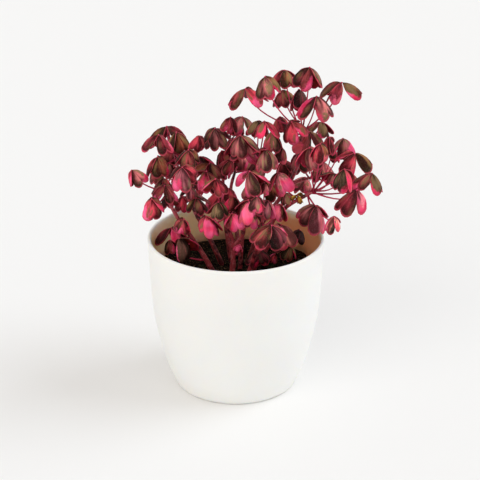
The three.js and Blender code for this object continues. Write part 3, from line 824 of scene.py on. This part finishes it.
def add_crumb(bm, reach, clod, draw):
    """One crumb or larger clod, dented and turned, somewhere on the soil within reach of its middle."""
    away = reach * sqrt(draw())
    turn = 2 * pi * draw()
    x, y = away * cos(turn), away * sin(turn)
    size = varied(draw, *(CLOD_SIZE if clod else CRUMB_SIZE))
    spin = Matrix.Rotation(CRUMB_TURN * draw(), 4, Vector((draw() - 0.5, draw() - 0.5, draw() + 0.1)))
    squeeze = Matrix.Diagonal((1, *(varied(draw, *limits) for limits in CRUMB_SQUEEZES), 1))
    place = Matrix.Translation((x, y, soil_height(x, y) + CRUMB_LIFT * size)) @ spin @ squeeze
    ball = bmesh.ops.create_icosphere(bm, subdivisions=2 if clod else 1, radius=size, matrix=place)
    fineness, depth = CRUMB_DENTS
    for vert in ball["verts"]:
        vert.co += noise.noise_vector(vert.co * fineness) * size * depth


def make_soil(material):
    """The soil: a filled body with a lumpy top, and crumbs and clods lying on it."""
    edge = inner_radius(SOIL_TOP - 2) - FIT_GAP
    foot = inner_radius(FLOOR + INSIDE_ROUND) - INSIDE_FLAT - 1
    profile = [(0, FLOOR + FIT_GAP), (foot, FLOOR + FIT_GAP)]
    profile += [(inner_radius(height) - FIT_GAP, height) for height in SOIL_LEVELS]
    profile += [(edge * (1 - i / SOIL_RINGS), SOIL_TOP) for i in range(SOIL_RINGS + 1)]
    bm = spun(profile, SOIL_SIDES)
    for vert in bm.verts:
        if vert.co.z > SOIL_TOP - 1:
            vert.co.z = soil_height(vert.co.x, vert.co.y)
    draw = seeded_draw(CRUMB_SEED)
    for i in range(CRUMBS + CLODS):
        add_crumb(bm, edge - SOIL_MARGIN, i < CLODS, draw)
    piece_from(bm, "potting_soil", [material], "soil")


# Stems, petioles and leaves


def route_point(dots, part):
    """A point of the source's centripetal curve through the dots, at a part of it from 0 to 1."""
    place = part * (len(dots) - 1)
    i = min(int(place), len(dots) - 2)
    p1, p2 = dots[i], dots[i + 1]
    p0 = dots[i - 1] if i else p1 * 2 - p2
    p3 = dots[i + 2] if i + 2 < len(dots) else p2 * 2 - p1
    d0, d1, d2 = (sqrt((b - a).length) for a, b in ((p0, p1), (p1, p2), (p2, p3)))
    start_slope = ((p1 - p0) / d0 - (p2 - p0) / (d0 + d1) + (p2 - p1) / d1) * d1
    end_slope = ((p2 - p1) / d1 - (p3 - p1) / (d1 + d2) + (p3 - p2) / d2) * d1
    return curve_point(p1, start_slope, p2, end_slope, place - i)


def measured_route(route):
    """The length of a route, and a function from a part of that length to its point."""
    dots = [Vector(point) for point in route]
    line = [route_point(dots, i / ROUTE_SAMPLES) for i in range(ROUTE_SAMPLES + 1)]
    lengths = [0.0]
    for a, b in zip(line, line[1:]):
        lengths.append(lengths[-1] + (b - a).length)

    def at(part):
        target = part * lengths[-1]
        i = min(bisect_right(lengths, target) - 1, ROUTE_SAMPLES - 1)
        rest = (target - lengths[i]) / (lengths[i + 1] - lengths[i])
        return route_point(dots, (i + rest) / ROUTE_SAMPLES)
    return lengths[-1], at


def start_on_stem(routes, hub, order):
    """The nearest point of the stem that lies somewhat below the leaf."""
    best, least = None, 1e9
    for _, at in routes:
        for i in range(FIRST_CHOICE, START_CHOICES + 1):
            point = at((i - CHOICE_SHIFT * (order % SHIFTS)) / START_CHOICES)
            cost = (point - hub).length + RISE_WEIGHT * max(0, point.z - hub.z + RISE)
            if cost < least:
                best, least = point, cost
    return best


def place_leaflet(heading, length, droop, axis, draw):
    """Directions and size of one leaflet, with the source's draws."""
    turn = radians(heading + WANDER * (2 * draw() - 1))
    hang = radians(droop + SAG * (2 * draw() - 1))
    twist = radians(TWIST * (2 * draw() - 1))
    level = Vector((cos(turn), sin(turn), 0))
    level = (level - axis * level.dot(axis)).normalized()
    out = level * cos(hang) - axis * sin(hang)
    side = axis.cross(level)
    side = side * cos(twist) + out.cross(side) * sin(twist)
    size = length * (SMALLEST + SIZE_SPREAD * draw())
    fold = radians(FOLD_LEVEL - FOLD_PER_DROOP * droop)
    return {"out": out, "side": side, "up": out.cross(side), "size": size, "fold": fold}


def blade_point(hub, leaflet, across, along, wave):
    """A point of the blade: across from -1 to 1 round the edge's spread, along from the base to the edge."""
    place = abs(across) * (len(EDGE) - 1)
    i = min(int(place), len(EDGE) - 2)
    (near_u, near_v), (far_u, far_v) = EDGE[i:i + 2]
    u = near_u + (far_u - near_u) * (place - i)
    v = near_v + (far_v - near_v) * (place - i)
    # The blade is domed from its base to its edge
    arch = ARCH * u * along * (1 - along)
    # The straight sides belly out a little, and the base is as wide as the leaf's joint
    u = u * along + BASE_LENGTH * (1 - along)
    v = v * along + BELLY * sin(pi * along) * abs(across) ** 3 + BASE_HALF_WIDTH * abs(across) * (1 - along)
    # It folds along its rib and curls down, and the outer edge is wavy
    fall = sqrt(v * v + RIDGE * RIDGE) * sin(leaflet["fold"]) + CURL * u * u
    ripple = WAVE_DEPTH * along * along * (1 + wave * sin(across * WAVES))
    spread = v * cos(leaflet["fold"]) * (1 if across >= 0 else -1)
    offset = leaflet["out"] * u + leaflet["side"] * spread + leaflet["up"] * (arch - fall - ripple)
    return hub + offset * leaflet["size"]


def leaflet_look(tone, draw):
    """Colours, blotches and wave of one leaflet, each a little unlike its neighbours."""
    field, patch, blush, patches = UPPER_SIDES[tone]
    field = lit(linear(field), varied(draw, *LEAF_LIGHT))
    wave = varied(draw, *WAVE_DRAW)
    blush *= varied(draw, *BLUSH_DRAW)
    patches *= varied(draw, *PATCH_DRAW)
    habit = (blush, patches, varied(draw, *LEAN_DRAW))
    return {"field": Vector(field), "patch": Vector(linear(patch)), "habit": Vector(habit), "wave": wave}


def add_leaflet(bm, layers, hub, leaflet, look):
    """One leaflet as a sheet of 16 by 5 faces, with its place, colours and habit on its corners."""
    grid = bmesh.ops.create_grid(bm, x_segments=2 * (len(EDGE) - 1), y_segments=BLADE_ROWS, size=1.0)
    places = {}
    for vert in grid["verts"]:
        across, along = -vert.co.x, (vert.co.y + 1) / 2
        places[vert] = (0.5 + across / 2, along)
        vert.co = blade_point(hub, leaflet, across, along, look["wave"])
        for name in ("field", "patch", "habit"):
            vert[layers[name]] = look[name]
    for face in {face for vert in places for face in vert.link_faces}:
        for loop in face.loops:
            loop[layers["uv"]].uv = places[loop.vert]


def sweep(bm, tone_layer, centres, radii, sides, tones):
    """A round tube through the centres, closed at both ends, coloured ring by ring."""
    last = len(centres) - 1
    across = (centres[1] - centres[0]).orthogonal()
    matrices = []
    for i, centre in enumerate(centres):
        ahead = (centres[min(i + 1, last)] - centres[max(i - 1, 0)]).normalized()
        across = (across - ahead * across.dot(ahead)).normalized()
        turned = Matrix((across, ahead.cross(across), ahead)).transposed().to_4x4()
        matrices.append(Matrix.Translation(centre) @ turned @ Matrix.Diagonal((radii[i], radii[i], 1, 1)))
    disc = bmesh.ops.create_circle(bm, cap_ends=True, radius=1.0, segments=sides, matrix=matrices[0])
    ring = disc["verts"]
    for vert in ring:
        vert[tone_layer] = tones[0]
    edges = list({edge for vert in ring for edge in vert.link_edges})
    for i in range(1, last + 1):
        made = bmesh.ops.extrude_edge_only(bm, edges=edges)["geom"]
        ring = {item for item in made if isinstance(item, bmesh.types.BMVert)}
        edges = [item for item in made if isinstance(item, bmesh.types.BMEdge)]
        edges = [edge for edge in edges if ring.issuperset(edge.verts)]
        for vert in ring:
            vert[tone_layer] = tones[i]
        bmesh.ops.transform(bm, matrix=matrices[i] @ matrices[i - 1].inverted(), verts=list(ring))
    bmesh.ops.contextual_create(bm, geom=edges)


def add_stem_tube(bm, tone_layer, route, radii, rooted):
    """One route's tube: slight swellings at the old leaf joints, and a rounded growing tip."""
    length, at = route
    thick, thin = radii
    old, young = linear(STEM_OLD), linear(STEM_YOUNG)
    count = max(LEAST_STEPS, round(length / STEM_STEP))
    centres, sizes, tones = [], [], []
    if rooted:
        centres.append(at(0) - Vector((0, 0, ROOT_DEPTH)))
        sizes.append(thick * ROOT_SHARE)
        tones.append(Vector(old))
    for i in range(count + 1):
        part = i / count
        gap = (part * length) % JOINT_SPACING - JOINT_SPACING / 2
        swelling = JOINT_SWELLING * exp(-gap * gap / JOINT_FADE)
        centres.append(at(part))
        sizes.append((thick + (thin - thick) * part) * (SLIM_SHARE + swelling))
        tones.append(Vector(blend_of(old, young, smooth_step(0, YOUNG_FROM, part))))
    sizes[-2] *= TIP_SHARES[0]
    sizes[-1] *= TIP_SHARES[1]
    sweep(bm, tone_layer, centres, sizes, STEM_SIDES, tones)


def add_petiole(bm, tone_layer, start, hub, axis, draw):
    """A slender petiole that arches from the stem into the middle of its leaf, with a small joint there."""
    reach = (start - hub).length
    bend = hub - axis * max(BEND_LEAST, reach * BEND_SHARE)
    light = varied(draw, *PETIOLE_LIGHT)
    low, high = (lit(linear(code), light) for code in (PETIOLE_LOW, PETIOLE_HIGH))
    centres, sizes, tones = [], [], []
    for i in range(PETIOLE_STEPS):
        part = i / PETIOLE_STEPS
        centres.append(start * (1 - part) ** 2 + bend * 2 * part * (1 - part) + hub * part ** 2)
        sizes.append(PETIOLE_RADIUS - PETIOLE_TAPER * smooth_step(0, TAPER_END, part))
        tones.append(Vector(blend_of(low, high, part)))
    for radius, depth in zip(JOINT_RADII, JOINT_DEPTHS):
        centres.append(hub - axis * depth)
        sizes.append(radius)
        tones.append(Vector(high))
    sweep(bm, tone_layer, centres, sizes, PETIOLE_SIDES, tones)


def leaf_layers(bm):
    """Layers for the colours and the habit of each leaflet, and for the place on it."""
    layers = {name: bm.verts.layers.float_color.new(name) for name in ("field", "patch")}
    layers["habit"] = bm.verts.layers.float_vector.new("habit")
    layers["uv"] = bm.loops.layers.uv.new("leaflet")
    return layers


def make_stem(stem, index, materials):
    """A rooted stem with its petioles, and its leaves as a second piece."""
    skin, petiole, upper, under = materials
    draw = seeded_draw(index * SEED_STEP + FIRST_SEED)
    look_draw = seeded_draw(index * LOOK_STEP + FIRST_LOOK)
    node = "stem_" + stem["name"]
    routes = [measured_route(route) for route in stem["routes"]]
    thick, thin = stem["radii"]
    wood = bmesh.new()
    tone_layer = wood.verts.layers.float_color.new("tone")
    for order, route in enumerate(routes):
        root_radius = thick if order == 0 else (thick + thin) / 2
        add_stem_tube(wood, tone_layer, route, (root_radius, thin), order == 0)
    stem_faces = len(wood.faces)
    leaves = bmesh.new()
    layers = leaf_layers(leaves)
    for order, (x, y, z, heading, length, droop, tones) in enumerate(stem["leaves"]):
        hub = Vector((x, y, z))
        start = start_on_stem(routes, hub, order)
        axis = ((hub - start).normalized() * LEAN + Vector((0, 0, 1))).normalized()
        add_petiole(wood, tone_layer, start, hub, axis, look_draw)
        for i in range(LEAFLETS):
            leaflet = place_leaflet(heading + 360 / LEAFLETS * i, length, droop, axis, draw)
            add_leaflet(leaves, layers, hub, leaflet, leaflet_look(tones[i % len(tones)], look_draw))
    bmesh.ops.recalc_face_normals(wood, faces=wood.faces)
    for face in list(wood.faces)[stem_faces:]:
        face.material_index = 1
    piece_from(wood, stem["name"] + "_stem", [skin, petiole], node)
    foliage = piece_from(leaves, stem["name"] + "_leaves", [upper, under], node)
    # Solidify thickens the sheets downwards, and its new side is the smooth lower skin
    blade = foliage.modifiers.new("blade", "SOLIDIFY")
    blade.thickness = BLADE * MM
    blade.offset = -1
    blade.material_offset = 1


# Camera, floor and light


def make_camera():
    """The photograph's view: aimed at the middle of the pot's rim, then shifted to its pixel."""
    data = bpy.data.cameras.new("camera")
    data.sensor_width = SENSOR
    data.lens = SENSOR * FOCAL_PIXELS / PICTURE
    data.shift_x = (PICTURE / 2 - RIM_PIXEL[0]) / PICTURE
    data.shift_y = (RIM_PIXEL[1] - PICTURE / 2) / PICTURE
    data.clip_end = VIEW_LIMIT * MM
    camera = bpy.data.objects.new("camera", data)
    bpy.context.collection.objects.link(camera)
    lift = radians(VIEW_ELEVATION)
    rim = Vector((0, 0, POT_HEIGHT))
    place = rim + Vector((0, -cos(lift), sin(lift))) * VIEW_DISTANCE
    camera.location = place * MM
    camera.rotation_euler = (rim - place).to_track_quat("-Z", "Y").to_euler()
    bpy.context.scene.camera = camera


def make_floor():
    """A plain pale floor, far wider than the view."""
    bm = bmesh.new()
    bmesh.ops.create_grid(bm, x_segments=1, y_segments=1, size=FLOOR_HALF_WIDTH * MM)
    mesh = bpy.data.meshes.new("floor")
    bm.to_mesh(mesh)
    bm.free()
    mesh.materials.append(studio_paper())
    floor = bpy.data.objects.new("floor", mesh)
    bpy.context.collection.objects.link(floor)


def broad_light(name, source, strength, spread, tint):
    """An even light from far off, from the direction of source, as wide as spread degrees."""
    data = bpy.data.lights.new(name, "SUN")
    data.energy = strength
    data.angle = radians(spread)
    data.color = tint
    light = bpy.data.objects.new(name, data)
    bpy.context.collection.objects.link(light)
    light.rotation_euler = Vector(source).to_track_quat("Z", "Y").to_euler()


def make_light():
    """Soft daylight from the right, weaker warm light from the left front, and an even pale surround."""
    world = bpy.data.worlds.new("pale surround")
    world.use_nodes = True
    surround = world.node_tree.nodes["Background"]
    surround.inputs["Color"].default_value = (1.0, 0.975, 0.945, 1.0)
    surround.inputs["Strength"].default_value = 0.74
    bpy.context.scene.world = world
    broad_light("window", source=(1.0, 0.12, 0.8), strength=1.25, spread=50, tint=(0.86, 0.93, 1.0))
    broad_light("reflector", source=(-0.7, -1.0, 0.6), strength=0.75, spread=55, tint=(1.0, 0.97, 0.92))
    bpy.context.scene.view_settings.view_transform = "Standard"


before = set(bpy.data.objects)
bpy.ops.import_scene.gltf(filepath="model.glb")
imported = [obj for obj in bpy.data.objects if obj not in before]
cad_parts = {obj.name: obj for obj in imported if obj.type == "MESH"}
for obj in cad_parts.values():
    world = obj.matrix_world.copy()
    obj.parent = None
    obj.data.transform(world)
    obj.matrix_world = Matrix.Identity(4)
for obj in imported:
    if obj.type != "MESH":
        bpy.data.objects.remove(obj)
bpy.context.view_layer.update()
make_camera()
make_floor()
make_light()
make_pot([pot_plastic(), pot_inside()])
make_soil(peat())
leaf_and_stem = (stem_skin(), petiole_skin(), leaf_upper(), leaf_under())
for index, stem in enumerate(STEMS):
    make_stem(stem, index, leaf_and_stem)
